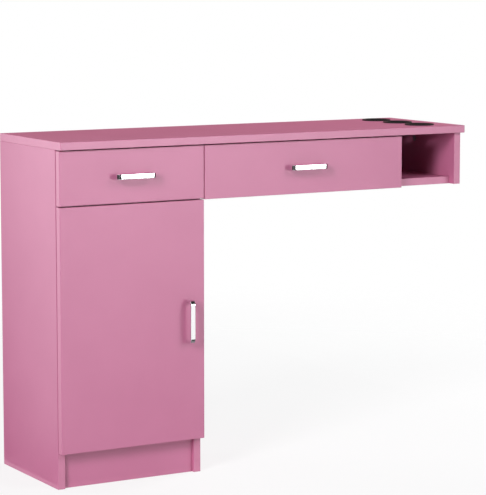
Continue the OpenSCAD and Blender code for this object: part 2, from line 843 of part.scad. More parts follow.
module drawer_bolts(drawer) {
    on_bench() color(steel) for (f = drawer_cams(drawer)) fitted(f) cam_bolt();
}

module drawer_screws(drawer) {
    on_bench() color(steel) {
        back_screws(drawer, wood_screw_r, pan_r);
        for (y = runner_screw_ys, s = [0, 1]) {
            n = s == 0 ? 1 : -1;
            pan_screw([drawer[s] + n * (runner_w - sheet_t), runner_y + y, runner_z(drawer)],
                [n, 0, 0], rail_screw_in + sheet_t);
        }
    }
}

module small_drawer_front() { drawer_front(small_drawer); }
module small_drawer_left_side() { drawer_side(small_drawer, 0); }
module small_drawer_right_side() { drawer_side(small_drawer, 1); }
module small_drawer_back() { drawer_back(small_drawer); }
module small_drawer_bottom() { drawer_bottom(small_drawer); }
module small_drawer_cam_locks() { drawer_locks(small_drawer); }
module small_drawer_cam_bolts() { drawer_bolts(small_drawer); }
module small_drawer_screws() { drawer_screws(small_drawer); }
module wide_drawer_front() { drawer_front(wide_drawer); }
module wide_drawer_left_side() { drawer_side(wide_drawer, 0); }
module wide_drawer_right_side() { drawer_side(wide_drawer, 1); }
module wide_drawer_back() { drawer_back(wide_drawer); }
module wide_drawer_bottom() { drawer_bottom(wide_drawer); }
module wide_drawer_cam_locks() { drawer_locks(wide_drawer); }
module wide_drawer_cam_bolts() { drawer_bolts(wide_drawer); }
module wide_drawer_screws() { drawer_screws(wide_drawer); }

// Bow handles. In its own frame a handle stands on z = 0 and its length runs along X.

// Rectangle that stands on the X axis, with its two upper corners rounded
module round_ended(w, h, r) {
    translate([-w / 2, 0]) square([w, h - r]);
    translate([-w / 2 + r, 0]) square([w - 2 * r, h]);
    for (s = [-1, 1]) translate([s * (w / 2 - r), h - r]) circle(r = r);
}

module handle() {
    long = handle_cc + handle_leg;
    difference() {
        translate([0, handle_w / 2, 0]) rotate([90, 0, 0]) linear_extrude(handle_w) difference() {
            round_ended(long, handle_out, handle_r);
            translate([0, -1]) round_ended(long - 2 * handle_leg, handle_out - handle_t + 1, handle_r / 2);
        }
        for (s = [-1, 1]) translate([s * handle_cc / 2, 0, -1])
            cylinder(r = handle_screw_r + handle_play, h = handle_thread + 1);
    }
}

module handle_screws() {
    for (s = [-1, 1]) translate([s * handle_cc / 2, 0, 0]) {
        translate([0, 0, -board_t - handle_head]) cylinder(r = handle_head_r, h = handle_head);
        translate([0, 0, -board_t])
            cylinder(r = handle_screw_r, h = board_t + handle_thread - handle_thread_play);
    }
}

// Puts a handle on a front's face: z comes out of the face, x along the drawer's width
module at_drawer_handle(drawer) {
    translate([(drawer[3][0] + drawer[3][1]) / 2, face_y, drawer[4]]) rotate([90, 0, 0]) children();
}

module at_door_handle() {
    translate([door_front[1] - door_handle_in, face_y, door_mid_z]) rotate([90, 90, 0]) children();
}

module small_drawer_handle() { on_bench() color(chromed) at_drawer_handle(small_drawer) handle(); }
module wide_drawer_handle() { on_bench() color(chromed) at_drawer_handle(wide_drawer) handle(); }
module door_handle() { on_bench() color(chromed) at_door_handle() handle(); }

module small_drawer_handle_screws() {
    on_bench() color(steel) at_drawer_handle(small_drawer) handle_screws();
}

module wide_drawer_handle_screws() {
    on_bench() color(steel) at_drawer_handle(wide_drawer) handle_screws();
}

module door_handle_screws() {
    on_bench() color(steel) at_door_handle() handle_screws();
}

// Door on two concealed hinges. A cup is pressed into the door's back, and the arm on the
// case reaches into the cup to a pin near the door's edge, so the door swings clear.

module door_panel() {
    on_bench() color(pink) difference() {
        translate([door_front[0], face_y, door_front[2]])
            board([door_front[1] - door_front[0], board_t, door_front[3] - door_front[2]]);
        for (z = hinge_zs) {
            pilot([cup_x, -front_gap, z], [0, -1, 0], cup_r, cup_deep);
            for (s = [-1, 1])
                pilot([cup_x + cup_wing_out, -front_gap, z + s * cup_hole], [0, -1, 0],
                    wood_screw_r + slack, cup_screw + slack);
        }
        at_door_handle() for (s = [-1, 1]) translate([s * handle_cc / 2, 0, -board_t - 1])
            cylinder(r = handle_screw_r + handle_hole_play, h = board_t + 2);
    }
}

// Hinge cup: flanged cup with two screw wings and two ears that hold the pin.
// In its own frame it looks out of the door along +Z, with the door's height along Y.
module hinge_cup() {
    difference() {
        union() {
            translate([0, 0, -cup_in]) cylinder(r = cup_r - slack, h = cup_in);
            cylinder(r = cup_r + cup_flange, h = cup_rim);
            for (s = [-1, 1]) translate([cup_wing_out, s * cup_hole, 0])
                cylinder(r = cup_wing_r, h = cup_rim);
            translate([cup_wing_out - cup_wing_r, -cup_hole, 0])
                cube([2 * cup_wing_r, 2 * cup_hole, cup_rim]);
        }
        translate([0, 0, -cup_floor]) cylinder(r = cup_inner_r, h = cup_floor + cup_rim + 1);
        for (s = [-1, 1]) translate([cup_wing_out, s * cup_hole, -1])
            cylinder(r = wood_screw_r + sheet_play, h = cup_rim + 2);
    }
    // Ears beside the arm's eye, bored for the pin
    pin_x = pin_in - cup_edge - cup_r;
    intersection() {
        difference() {
            for (s = [0, 1]) mirror([0, s, 0])
                translate([pin_x - eye_r, eye_w / 2 + ear_gap, -cup_floor - ear_sink])
                    cube([3 * eye_r, ear_t, cup_floor + ear_sink - pin_deep + 2 * eye_r]);
            translate([pin_x, -cup_r, -pin_deep]) rotate([-90, 0, 0])
                cylinder(r = pin_r + ear_play, h = cup_d);
        }
        translate([0, 0, -cup_in]) cylinder(r = cup_inner_r + ear_sink, h = cup_in);
    }
}

module at_hinges() {
    for (z = hinge_zs) translate([0, 0, z]) children();
}

module hinge_cups() {
    on_bench() color(steel) at_hinges() translate([cup_x, -front_gap, 0]) rotate([-90, 0, 0]) hinge_cup();
}

module hinge_pins() {
    pin_l = eye_w + 2 * ear_gap + 2 * ear_t;
    on_bench() color(steel) at_hinges() translate([hinge_x, hinge_y, -pin_l / 2])
        cylinder(r = pin_r, h = pin_l);
}

module hinge_cup_screws() {
    on_bench() color(steel) at_hinges() for (s = [-1, 1])
        pan_screw([cup_x + cup_wing_out, cup_rim - front_gap, s * cup_hole], [0, -1, 0], cup_screw + cup_rim);
}

// Plan of the arm's nose: from the eye into the cup, then back out to the case
module nose_plan() {
    difference() {
        union() {
            translate([hinge_x, hinge_y]) circle(r = eye_r);
            translate([hinge_x, hinge_y - link_t / 2]) square([link_x + link_t - hinge_x, link_t]);
            translate([link_x, hinge_y - link_t / 2]) square([link_t, arm_y0 + arm_t - hinge_y + link_t / 2]);
        }
        translate([hinge_x, hinge_y]) circle(r = pin_r + pin_play);
    }
}

module hinge_arms() {
    on_bench() color(steel) at_hinges() {
        translate([0, 0, -eye_w / 2]) linear_extrude(eye_w) nose_plan();
        difference() {
            translate([arm_x0, arm_y0, -arm_w / 2]) cube([arm_x1 - arm_x0, arm_y1 - arm_y0, arm_w]);
            translate([arm_x0 - 1, arm_y0 + arm_t, -arm_w / 2 + arm_t])
                cube([arm_x1 - arm_x0 + 1 - arm_t, arm_y1 - arm_y0, arm_w - 2 * arm_t]);
        }
    }
}

// Cross-shaped plate on the side board, with the block that the arm clips over
module hinge_plates() {
    block_w = arm_w - 2 * arm_t - 2 * block_play;
    block_y = arm_y0 + arm_t + block_front;
    on_bench() color(steel) at_hinges() difference() {
        union() {
            translate([inner_l, block_y, -block_w / 2])
                cube([arm_x1 - arm_t - block_play - inner_l, arm_y1 - block_rear - block_y, block_w]);
            translate([inner_l, plate_in - plate_half, -plate_hole - plate_half])
                cube([plate_t, 2 * plate_half, 2 * (plate_hole + plate_half)]);
        }
        for (s = [-1, 1])
            pilot([inner_l - 1, plate_in, s * plate_hole], [1, 0, 0], wood_screw_r + sheet_play, plate_t + 2);
    }
}

module hinge_plate_screws() {
    on_bench() color(steel) at_hinges() for (s = [-1, 1])
        pan_screw([inner_l + plate_t, plate_in, s * plate_hole], [-1, 0, 0], screw_in + plate_t);
}

// Soft pads that the door closes on, at its free edge
module door_bumpers() {
    on_bench() color(clear_rubber) for (z = [door_front[2] + bumper_in, door_front[3] - bumper_in])
        translate([pedestal_w - board_t / 2, -front_gap, z]) rotate([-90, 0, 0])
            cylinder(r = bumper_r, h = bumper_t);
}

top_panel();
tool_holder(-1);  // tool_holder_front
tool_holder(0);  // tool_holder_middle
tool_holder(1);  // tool_holder_rear
pedestal_left_side();
pedestal_right_side();
pedestal_bottom();
toe_kick();
pedestal_back();
drawer_deck();
adjustable_shelf();
shelf_pins();
wall_rail();
wing_bottom();
wing_divider();
wing_end_panel();
wing_back();
cam_locks();
cam_bolts();
dowels();
small_case_runners();
wide_case_runners();
case_runner_screws();
hinge_plates();
hinge_arms();
hinge_plate_screws();
small_drawer_front();
small_drawer_left_side();
small_drawer_right_side();
small_drawer_back();
small_drawer_bottom();
small_drawer_handle();
small_drawer_handle_screws();
small_drawer_runners();
small_drawer_cam_locks();
small_drawer_cam_bolts();
small_drawer_screws();
small_middle_runners();
wide_drawer_front();
wide_drawer_left_side();
wide_drawer_right_side();
wide_drawer_back();
wide_drawer_bottom();
wide_drawer_handle();
wide_drawer_handle_screws();
wide_drawer_runners();
wide_drawer_cam_locks();
wide_drawer_cam_bolts();
wide_drawer_screws();
wide_middle_runners();
door_panel();
door_handle();
door_handle_screws();
hinge_cups();
hinge_pins();
hinge_cup_screws();
door_bumpers();
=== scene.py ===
import math

import bmesh
import bpy
from mathutils import Matrix, Vector


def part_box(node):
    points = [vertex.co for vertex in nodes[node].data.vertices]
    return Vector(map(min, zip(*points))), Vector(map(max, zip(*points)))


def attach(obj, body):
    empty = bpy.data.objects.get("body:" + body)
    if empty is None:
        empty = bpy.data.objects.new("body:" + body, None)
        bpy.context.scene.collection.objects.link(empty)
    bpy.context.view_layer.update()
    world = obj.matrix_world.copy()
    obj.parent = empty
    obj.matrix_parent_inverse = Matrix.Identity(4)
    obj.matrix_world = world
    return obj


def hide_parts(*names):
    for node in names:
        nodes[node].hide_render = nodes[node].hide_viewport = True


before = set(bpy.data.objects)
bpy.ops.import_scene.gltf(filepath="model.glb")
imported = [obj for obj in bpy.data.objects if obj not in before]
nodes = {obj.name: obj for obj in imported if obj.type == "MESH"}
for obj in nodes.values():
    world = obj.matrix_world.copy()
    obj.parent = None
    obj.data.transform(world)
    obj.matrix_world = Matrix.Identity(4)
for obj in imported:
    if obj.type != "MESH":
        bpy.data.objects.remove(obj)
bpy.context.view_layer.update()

# Studio
# A white floor under a white surround, lit by soft boxes from the left, the right and behind. The
# camera stands at the left in front of the station and looks slightly down on it.

CAMERA_PLACE = (-2.5621, -4.4294, 1.158)
CAMERA_TURN = math.radians(30.123)
CAMERA_DIP = math.radians(6.487)
CAMERA_LENS = 155.23
CAMERA_RISE = -0.06
SENSOR_WIDTH = 36
CAMERA_SIGHT = 60

lens = bpy.data.cameras.new("station_camera")
lens.sensor_width = SENSOR_WIDTH
lens.lens = CAMERA_LENS
lens.shift_y = CAMERA_RISE
lens.clip_end = CAMERA_SIGHT
camera = bpy.data.objects.new("station_camera", lens)
camera.location = CAMERA_PLACE
camera.rotation_euler = (math.pi / 2 - CAMERA_DIP, 0, -CAMERA_TURN)
bpy.context.collection.objects.link(camera)
bpy.context.scene.camera = camera
bpy.context.scene.view_settings.view_transform = "Standard"


def soft_box(name, place, target, size, watts):
    """A white lamp that gloss doesn't mirror, so that it burns no spot into the boards' sheen."""
    light = bpy.data.lights.new(name, "AREA")
    light.shape = "RECTANGLE"
    light.size, light.size_y = size
    light.energy = watts
    lamp = bpy.data.objects.new(name, light)
    lamp.location = place
    lamp.rotation_euler = (Vector(target) - Vector(place)).to_track_quat("-Z", "Y").to_euler()
    bpy.context.collection.objects.link(lamp)
    lamp.visible_glossy = False


# The low box shines into the open tool bay, under the worktop
soft_box("key_soft_box", (-5.2, -3.4, 3.7), (0, 0, 0.5), (2.0, 2.0), 254)
soft_box("low_soft_box", (-5.2, -2.9, 1.5), (0, 0, 0.6), (1.2, 1.2), 96)
soft_box("front_soft_box", (3.4, -4.8, 4.2), (0, 0, 0.5), (2.8, 2.4), 160)
soft_box("rear_left_soft_box", (-2.8, 3.2, 1.6), (-0.4, 0, 0.5), (1.6, 1.6), 22)
soft_box("rear_top_soft_box", (-2.0, 2.2, 2.1), (-0.1, 0, 0.6), (1.2, 1.2), 8)
soft_box("right_soft_box", (3.2, 0.6, 2.2), (0.1, 0, 0.7), (1.4, 1.4), 90)


def linear(colour):
    """An sRGB hex colour as the linear RGBA that a shader takes."""
    parts = [int(colour[i:i + 2], 16) / 255 for i in (1, 3, 5)]
    return [c / 12.92 if c <= 0.04045 else ((c + 0.055) / 1.055) ** 2.4 for c in parts] + [1]


def add(tree, kind, settings=None, **links):
    """Adds a shader node. Settings are its own properties. A link is a number, a colour or
    another node's output, for the input of that name, with _ for a space, or for the input of
    that number, as in0."""
    made = tree.nodes.new(kind)
    for name, value in (settings or {}).items():
        setattr(made, name, value)
    for name, value in links.items():
        if name[:2] == "in" and name[2:].isdigit():
            socket = made.inputs[int(name[2:])]
        else:
            socket = next(s for s in made.inputs if s.name == name.replace("_", " ") and s.enabled)
        if isinstance(value, bpy.types.NodeSocket):
            tree.links.new(value, socket)
        else:
            socket.default_value = value
    return made


def seen(tree):
    """1 for what the camera, a mirror or glass looks at, and 0 for what lights something."""
    ray = add(tree, "ShaderNodeLightPath")
    mirrored = add(tree, "ShaderNodeMath", {"operation": "MAXIMUM"},
                   in0=ray.outputs["Is Camera Ray"], in1=ray.outputs["Is Glossy Ray"])
    return add(tree, "ShaderNodeMath", {"operation": "MAXIMUM"},
               in0=mirrored.outputs[0], in1=ray.outputs["Is Transmission Ray"]).outputs[0]


# The surround is plain white wherever it is seen or mirrored, and dim where it lights
SURROUND_LIGHT = 0.05
world = bpy.data.worlds.new("white_surround")
bpy.context.scene.world = world
world.use_nodes = True
sky = world.node_tree
sky.nodes.clear()
dim = add(sky, "ShaderNodeBackground", Color=linear("#f4f6ff"), Strength=SURROUND_LIGHT)
white = add(sky, "ShaderNodeBackground", Color=(1, 1, 1, 1), Strength=1.0)
surround = add(sky, "ShaderNodeMixShader", in0=seen(sky), in1=dim.outputs[0], in2=white.outputs[0])
add(sky, "ShaderNodeOutputWorld", Surface=surround.outputs[0])


def stand(name, bm):
    """An object of a finished bmesh. It sits at the origin, with its place in its mesh."""
    mesh = bpy.data.meshes.new(name)
    bm.to_mesh(mesh)
    bm.free()
    made = bpy.data.objects.new(name, mesh)
    bpy.context.collection.objects.link(made)
    return made


def blank(name):
    """An empty node material and its tree."""
    material = bpy.data.materials.new(name)
    material.use_nodes = True
    material.node_tree.nodes.clear()
    return material, material.node_tree


def close(tree, shader):
    """Ends a material with its shader."""
    add(tree, "ShaderNodeOutputMaterial", Surface=shader.outputs[0])


FLOOR_RADIUS = 3.2
FLOOR_SIDES = 96
FADE_START = 0.9
FADE_END = FLOOR_RADIUS * 0.96
FLOOR_WHITE = 0.8
FLOOR_GRAIN_PER_METRE = 60


def floor_paint():
    """Matt white paint, rolled on in patches of 17 mm. It keeps the shadow near the station and
    fades into the surround."""
    material, tree = blank("matt_white_floor_paint")
    place = add(tree, "ShaderNodeTexCoord").outputs["Object"]
    reach = add(tree, "ShaderNodeVectorMath", {"operation": "LENGTH"}, in0=place).outputs["Value"]
    fade = add(tree, "ShaderNodeMapRange", {"interpolation_type": "SMOOTHERSTEP"}, Value=reach,
               From_Min=FADE_START, From_Max=FADE_END, To_Min=0.0, To_Max=1.0).outputs["Result"]
    grain = add(tree, "ShaderNodeTexNoise", Vector=place, Scale=FLOOR_GRAIN_PER_METRE,
                Detail=3.0).outputs["Fac"]
    tint = add(tree, "ShaderNodeMix", {"data_type": "RGBA"}, Factor=grain,
               in6=linear("#f4f4f5"), in7=linear("#f8f8f8")).outputs[2]
    matt = add(tree, "ShaderNodeBsdfPrincipled", Base_Color=tint, Roughness=0.8)
    glow = add(tree, "ShaderNodeEmission", Color=(1, 1, 1, 1), Strength=1.0)
    lift = add(tree, "ShaderNodeMath", {"operation": "MULTIPLY"}, in0=seen(tree), in1=FLOOR_WHITE)
    near = add(tree, "ShaderNodeMixShader", in0=lift.outputs[0], in1=matt.outputs[0],
               in2=glow.outputs[0])
    clear = add(tree, "ShaderNodeBsdfTransparent")
    close(tree, add(tree, "ShaderNodeMixShader", in0=fade, in1=near.outputs[0],
                    in2=clear.outputs[0]))
    return material


bm = bmesh.new()
bmesh.ops.create_circle(bm, cap_ends=True, segments=FLOOR_SIDES, radius=FLOOR_RADIUS)
floor = stand("studio_floor", bm)
floor.data.materials.append(floor_paint())


def card(name, place, target, width, height, grey, strength=1.0):
    """A glowing card outside the picture that only gloss mirrors, a painted reflection, as studios put
    cards round chrome. Returns its material's tree and the node that makes it glow."""
    bm = bmesh.new()
    bmesh.ops.create_grid(bm, x_segments=1, y_segments=1, size=0.5,
                          matrix=Matrix.Diagonal((width, height, 1, 1)))
    turn = (Vector(target) - Vector(place)).to_track_quat("Z", "Y").to_matrix().to_4x4()
    bmesh.ops.transform(bm, matrix=Matrix.Translation(place) @ turn, verts=bm.verts)
    sheet = stand(name, bm)
    sheet.visible_camera = sheet.visible_diffuse = sheet.visible_shadow = False
    material, tree = blank(name + "_painted_reflection")
    glow = add(tree, "ShaderNodeEmission", Color=linear(grey), Strength=strength)
    close(tree, glow)
    sheet.data.materials.append(material)
    return tree, glow


# The cards glow and only gloss sees them, so each is a painted reflection. The bright card is the white
# streak in the chrome and the sheen that fades down the fronts. The rear one and those on the floor
# paint the room that the worktop and the sides mirror, and the dark ones paint the dark edges of the
# chrome.
card("streak_card", (1.5, -4.2, 0.78), (0.2, 0, 0.78), 2.8, 1.02, "#ffffff", 9.8)
card("rear_card", (0.6, 0.8, 1.2), (0.6, 0, 1.2), 2.4, 1.2, "#ba8082")
card("floor_card", (-0.9, 0.75, 0.01), (-0.9, 0.75, 1), 3.4, 2.5, "#8c888c")
card("front_floor_card", (0.7, -0.85, 0.01), (0.7, -0.85, 1), 1.8, 1.1, "#3c3a3c")
card("camera_card", (-1.35, -5.0, 0.78), (0, 0, 0.78), 6.0, 2.25, "#343234")
card("left_card", (-5.0, -1.6, 0.78), (0, 0, 0.78), 4.6, 2.25, "#343234")
card("right_card", (4.4, -1.7, 0.4), (0, -1.7, 0.4), 6.0, 3.4, "#3c3a3c")
card("high_card", (2.4, -4.6, 2.9), (0, 0, 0.7), 5.4, 4.2, "#2c2a2c")
card("ceiling_card", (1.4, -0.6, 2.8), (1.4, -0.6, 0), 4.4, 3.2, "#3c3a3c")

# A glowing card that paints the reflection of a white wall beside the station, as its left side mirrors
# it: bright high up, with painted shade that dims it towards the floor and into the corner behind the
# cabinet
WALL_RISE = 0.8
WALL_LOW = -0.08
WALL_HIGH = 1.55
CORNER_START = -0.74
CORNER_END = -0.56
tree, glow = card("painted_wall_card", (-1.56, 0.2, 0.6), (-1.56, -1, 0.6), 2.0, 1.19, "#ffffff")
spot = add(tree, "ShaderNodeSeparateXYZ", in0=add(tree, "ShaderNodeTexCoord").outputs["Object"])
painted_floor_shade = add(tree, "ShaderNodeMapRange", Value=spot.outputs["Z"], From_Min=0.0, From_Max=WALL_RISE,
             To_Min=WALL_LOW, To_Max=WALL_HIGH)
painted_corner_shade = add(tree, "ShaderNodeMapRange", Value=spot.outputs["X"], From_Min=CORNER_END,
              From_Max=CORNER_START, To_Min=0.0, To_Max=1.0)
# The glow is the sum of two painted shades: dimmer low down, and dimmer into the corner
painted_wall_shade = add(tree, "ShaderNodeMath", {"operation": "ADD"}, in0=painted_floor_shade.outputs[0],
                 in1=painted_corner_shade.outputs[0])
tree.links.new(painted_wall_shade.outputs[0], glow.inputs["Strength"])

# Laminated boards
# Particle board faced with pink melamine paper, pressed to a faint pearl grain, with an ABS
# edge band glued round its narrow sides. Cam fittings and dowels hold the boards together.

LAMINATE = "#c27195"
LAMINATE_DEEP = "#be6d91"
# The edge band's own pink, lightened a little as a painted sheen along the narrow sides
EDGE_BAND_WITH_PAINTED_SHEEN = "#c6799a"
PEARL_GRAIN = 0.0012
CLOUDING = 0.16
SPREAD = {"From_Min": 0.3, "From_Max": 0.7}
BROAD_FACE = 0.9


def melamine(name, broad_side):
    """Melamine-faced board, satin, with a sheen that breaks up softly. broad_side is the axis
    across the board: what faces along it is paper, and the rest is edge band. The real grain is
    0.4 mm wide, drawn at 1.2 mm to show. SPREAD is the range that noise hardly ever leaves."""
    material, tree = blank(name)
    coordinates = add(tree, "ShaderNodeTexCoord")
    place = coordinates.outputs["Object"]
    facing = add(tree, "ShaderNodeSeparateXYZ", in0=coordinates.outputs["Normal"]).outputs[broad_side]
    facing = add(tree, "ShaderNodeMath", {"operation": "ABSOLUTE"}, in0=facing).outputs[0]
    paper = add(tree, "ShaderNodeMath", {"operation": "GREATER_THAN"}, in0=facing,
                in1=BROAD_FACE).outputs[0]
    cloud = add(tree, "ShaderNodeTexNoise", Vector=place, Scale=1 / CLOUDING, Detail=2.0,
                Roughness=0.6).outputs["Fac"]
    pearl = add(tree, "ShaderNodeTexNoise", Vector=place, Scale=1 / PEARL_GRAIN, Detail=2.0,
                Roughness=0.55).outputs["Fac"]
    shade = add(tree, "ShaderNodeMapRange", Value=cloud, **SPREAD).outputs[0]
    face = add(tree, "ShaderNodeMix", {"data_type": "RGBA"}, Factor=shade,
               in6=linear(LAMINATE), in7=linear(LAMINATE_DEEP)).outputs[2]
    # The narrow sides take the edge band colour, which carries a painted sheen
    colour = add(tree, "ShaderNodeMix", {"data_type": "RGBA"}, Factor=paper,
                 in6=linear(EDGE_BAND_WITH_PAINTED_SHEEN), in7=face).outputs[2]
    polish = add(tree, "ShaderNodeMapRange", Value=pearl, To_Min=0.36, To_Max=0.44,
                 **SPREAD).outputs[0]
    depth = add(tree, "ShaderNodeMath", {"operation": "MULTIPLY"}, in0=pearl, in1=paper).outputs[0]
    relief = add(tree, "ShaderNodeBump", Strength=0.25, Distance=0.0001, Height=depth).outputs[0]
    close(tree, add(tree, "ShaderNodeBsdfPrincipled", Base_Color=colour, Roughness=polish,
                    IOR=1.6, Normal=relief))
    return material


CREASE = math.radians(32)


def piece(name, bm, material, slot, body, *stands_for):
    """Makes a finished object of a bmesh, hangs it on its body, and hides the CAD nodes that it stands
    for. Its edges that are sharper than CREASE stay sharp, and its flat faces stay flat."""
    bmesh.ops.recalc_face_normals(bm, faces=bm.faces)
    made = stand(name, bm)
    made.data.shade_smooth()
    made.data.set_sharp_from_angle(angle=CREASE)
    made.data.materials.append(material)
    made.modifiers.new("flat_faces_stay_flat", "WEIGHTED_NORMAL").keep_sharp = True
    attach(made, body)
    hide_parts(*stands_for)


CHAMFER = 0.0006
CHAMFER_ANGLES = (math.radians(40), math.radians(65))
ROUNDING = 0.00025
FLAT = math.radians(0.5)
MERGE = 1e-6
HAIR = 1e-5


def boards(body, slot, material, *names):
    """Copies CAD boards with the chamfers on their outer edges rounded, as the edge bander's
    scraper and buffer leave them. Corners within MERGE are one, and HAIR is play in a length."""
    for name in names:
        low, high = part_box(name)
        bm = bmesh.new()
        bm.from_mesh(nodes[name].data)
        bmesh.ops.remove_doubles(bm, verts=bm.verts, dist=MERGE)
        bmesh.ops.dissolve_limit(bm, angle_limit=FLAT, verts=bm.verts, edges=bm.edges)
        rim = {v for v in bm.verts
               if sum(min(v.co[i] - low[i], high[i] - v.co[i]) < CHAMFER + HAIR for i in range(3)) > 1}
        outer = [e for e in bm.edges if rim.issuperset(e.verts) and len(e.link_faces) == 2
                 and CHAMFER_ANGLES[0] < e.calc_face_angle() < CHAMFER_ANGLES[1]]
        bmesh.ops.bevel(bm, geom=outer, offset=ROUNDING, offset_type="OFFSET", segments=2,
                        profile=0.5, affect="EDGES", material=-1, clamp_overlap=True)
        piece(name + "_board", bm, material, slot, body, name)


upright_board = melamine("pink_melamine_upright_board", "X")
front_board = melamine("pink_melamine_front_board", "Y")
level_board = melamine("pink_melamine_level_board", "Z")
boards("carcass", "pink_laminate", upright_board, "pedestal_left_side", "pedestal_right_side",
       "wing_divider", "wing_end_panel")
boards("carcass", "pink_laminate", front_board, "toe_kick", "wall_rail", "wing_back")
boards("carcass", "pink_laminate", level_board, "top_panel", "pedestal_bottom", "drawer_deck",
       "adjustable_shelf", "wing_bottom")
boards("door", "pink_laminate", front_board, "door_panel")
for drawer in ("small_drawer", "wide_drawer"):
    boards(drawer, "pink_laminate", front_board, drawer + "_front")
    boards(drawer, "drawer_laminate", front_board, drawer + "_back")
    boards(drawer, "drawer_laminate", upright_board, drawer + "_left_side", drawer + "_right_side")

# Hardboard back and drawer bottoms
# Thin hardboard, papered pink on the side that shows and left as pressed brown fibre behind.
# The back sits in a rebate, and the bottoms slide into grooves in the drawer boxes.

FIBRE = 0.004


def hardboard(name, papered_side, sign):
    """Hardboard whose paper faces along the axis papered_side, or against it where sign is -1.
    Its fibres show as matt brown flecks."""
    material, tree = blank(name)
    coordinates = add(tree, "ShaderNodeTexCoord")
    place = coordinates.outputs["Object"]
    facing = add(tree, "ShaderNodeSeparateXYZ",
                 in0=coordinates.outputs["Normal"]).outputs[papered_side]
    paper = add(tree, "ShaderNodeMath", {"operation": "GREATER_THAN" if sign > 0 else "LESS_THAN"},
                in0=facing, in1=0.5 * sign).outputs[0]
    cloud = add(tree, "ShaderNodeTexNoise", Vector=place, Scale=1 / CLOUDING, Detail=2.0)
    fibres = add(tree, "ShaderNodeTexNoise", Vector=place, Scale=1 / FIBRE, Detail=6.0,
                 Roughness=0.7, Distortion=1.2)
    front = add(tree, "ShaderNodeMix", {"data_type": "RGBA"}, Factor=cloud.outputs["Fac"],
                in6=linear("#c6809a"), in7=linear("#bd7690")).outputs[2]
    rear = add(tree, "ShaderNodeMix", {"data_type": "RGBA"}, Factor=fibres.outputs["Fac"],
               in6=linear("#6f4a2e"), in7=linear("#a27a52")).outputs[2]
    colour = add(tree, "ShaderNodeMix", {"data_type": "RGBA"}, Factor=paper, in6=rear, in7=front)
    polish = add(tree, "ShaderNodeMapRange", Value=paper, To_Min=0.75, To_Max=0.5).outputs[0]
    relief = add(tree, "ShaderNodeBump", Strength=0.3, Distance=0.0002,
                 Height=fibres.outputs["Fac"]).outputs[0]
    close(tree, add(tree, "ShaderNodeBsdfPrincipled", Base_Color=colour.outputs[2],
                    Roughness=polish, Normal=relief))
    return material


def finish(names, material):
    """Gives CAD nodes their material."""
    for name in names:
        mesh = nodes[name].data
        mesh.materials.clear()
        mesh.materials.append(material)


finish(("pedestal_back",), hardboard("papered_hardboard_back", "Y", -1))
finish(("small_drawer_bottom", "wide_drawer_bottom"), hardboard("papered_hardboard_bottom", "Z", 1))

# Dowels and cam fittings
# Fluted beech dowels, die-cast zinc cam locks and zinc-plated bolts. The locks show as round
# discs with a cross slot under the shelves and inside the sides.

BEECH_GRAIN_PER_METRE = (60, 60, 900)


def beech():
    """Unfinished beech, matt, with a straight grain that lies level. Its fibres are drawn 17 mm
    long and 1.1 mm wide, because the real ones, 0.2 mm wide, are too fine to show."""
    material, tree = blank("unfinished_beech")
    place = add(tree, "ShaderNodeTexCoord").outputs["Object"]
    stretched = add(tree, "ShaderNodeMapping", Vector=place, Scale=BEECH_GRAIN_PER_METRE).outputs[0]
    grain = add(tree, "ShaderNodeTexNoise", Vector=stretched, Scale=1.0, Detail=4.0).outputs["Fac"]
    colour = add(tree, "ShaderNodeMix", {"data_type": "RGBA"}, Factor=grain,
                 in6=linear("#c9a06c"), in7=linear("#e2c296")).outputs[2]
    close(tree, add(tree, "ShaderNodeBsdfPrincipled", Base_Color=colour, Roughness=0.7))
    return material


finish(("dowels",), beech())


def metal(name, dark, light, roughness, patch, rolled=(1, 1, 1)):
    """Metal with patches of two tones, which keep its gloss uneven. patch is their size in
    metres, and rolled stretches them along an axis where it is below 1."""
    material, tree = blank(name)
    place = add(tree, "ShaderNodeTexCoord").outputs["Object"]
    stretched = add(tree, "ShaderNodeMapping", Vector=place,
                    Scale=[share / patch for share in rolled]).outputs[0]
    pattern = add(tree, "ShaderNodeTexNoise", Vector=stretched, Scale=1.0, Detail=5.0,
                  Roughness=0.65).outputs["Fac"]
    shade = add(tree, "ShaderNodeMapRange", Value=pattern, From_Min=0.35, From_Max=0.65).outputs[0]
    colour = add(tree, "ShaderNodeMix", {"data_type": "RGBA"}, Factor=shade,
                 in6=linear(dark), in7=linear(light)).outputs[2]
    polish = add(tree, "ShaderNodeMapRange", Value=pattern, To_Min=roughness[0],
                 To_Max=roughness[1], **SPREAD).outputs[0]
    relief = add(tree, "ShaderNodeBump", Strength=0.1, Distance=0.0001, Height=pattern).outputs[0]
    close(tree, add(tree, "ShaderNodeBsdfPrincipled", Base_Color=colour, Metallic=1.0,
                    Roughness=polish, Normal=relief))
    return material


# The skin of the casting is dull and slightly mottled
cast_zinc = metal("die_cast_zinc", "#9a9c9f", "#b4b6b8", (0.38, 0.5), 0.002)
finish(("cam_locks", "cam_bolts", "small_drawer_cam_locks", "small_drawer_cam_bolts",
        "wide_drawer_cam_locks", "wide_drawer_cam_bolts"), cast_zinc)

# Telescopic runners
# Three channels of cold-rolled steel, zinc plated. The case channel is screwed to the board,
# the drawer channel to the drawer box, and the middle one slides between them.

# Rolling leaves faint streaks along the channel, which show through the zinc
zinc_plate = metal("zinc_plated_cold_rolled_steel", "#a9adb2", "#cdd0d3", (0.24, 0.36), 0.012,
                   (1, 0.08, 1))
finish(("small_case_runners", "wide_case_runners", "small_middle_runners",
        "wide_middle_runners", "small_drawer_runners", "wide_drawer_runners"), zinc_plate)

# Screws
# Zinc-plated pan-head and countersunk screws with a cross recess. Each stands where the CAD
# has it, and its head is domed and slotted here.

# Barrel plating leaves small screws bright, with fine rubs
screw_steel = metal("bright_zinc_plated_screw", "#b3b5b8", "#d2d4d6", (0.2, 0.3), 0.0015)


